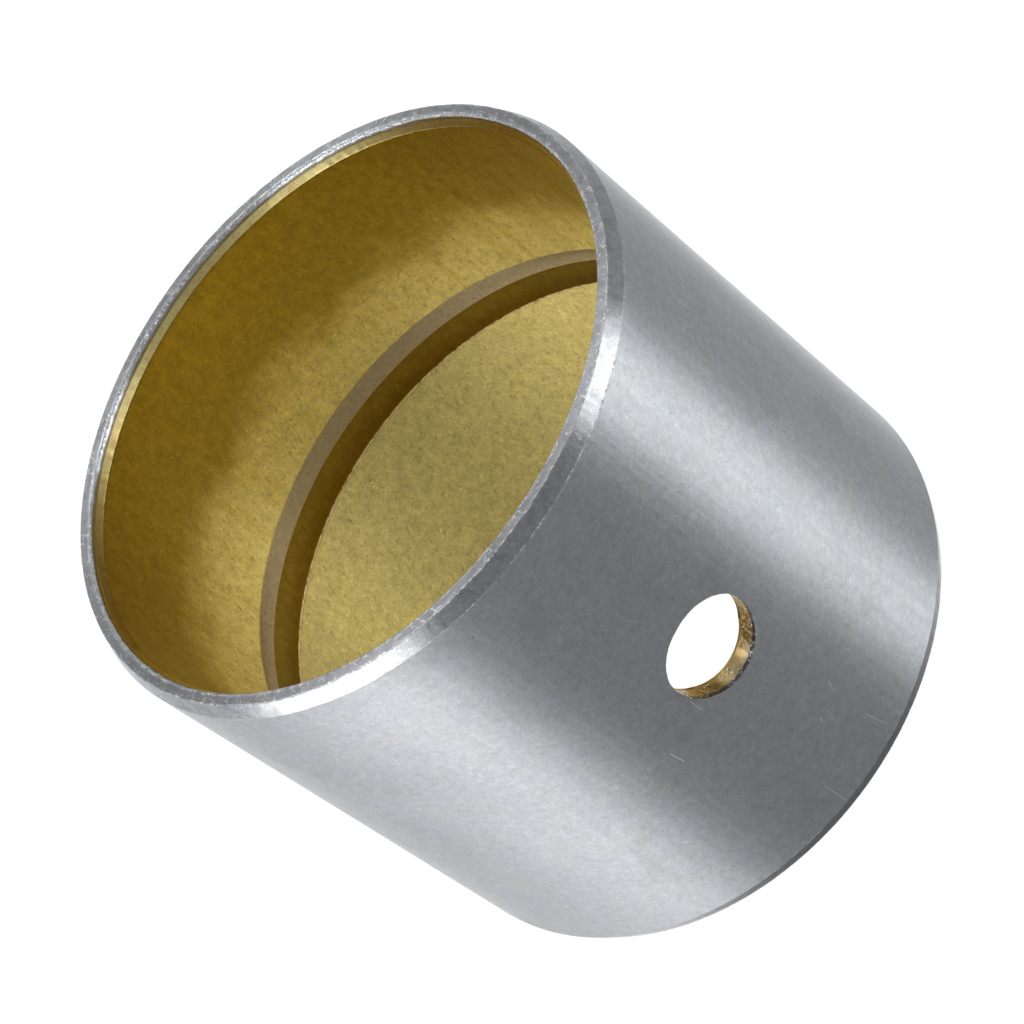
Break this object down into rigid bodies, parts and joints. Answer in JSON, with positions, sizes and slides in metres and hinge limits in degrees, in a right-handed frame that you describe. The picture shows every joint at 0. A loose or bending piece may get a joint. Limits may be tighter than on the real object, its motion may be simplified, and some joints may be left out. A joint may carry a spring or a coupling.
{
  "type": "plain sleeve bushing",
  "caption": "Steel sleeve bushing with a bonded bronze lining, chamfered ends, a radial oil hole and an oil groove round the bore; it carries a turning pin in a housing.",
  "frame": {"origin": "on the axis, at the lower end face on which the bushing stands", "axes": "+Z along the axis, up to the mouth that the picture looks into; -Y is the side of the oil hole"},
  "size_m": [0.054, 0.054, 0.0475],
  "materials": {
    "steel": "satin ground steel, with fine scratches and pits",
    "bronze": "bored sintered bronze, with fine pores and hone marks"
  },
  "bodies": {
    "root": {"steel_backing": "steel", "bronze_lining": "bronze"}
  },
  "joints": []
}
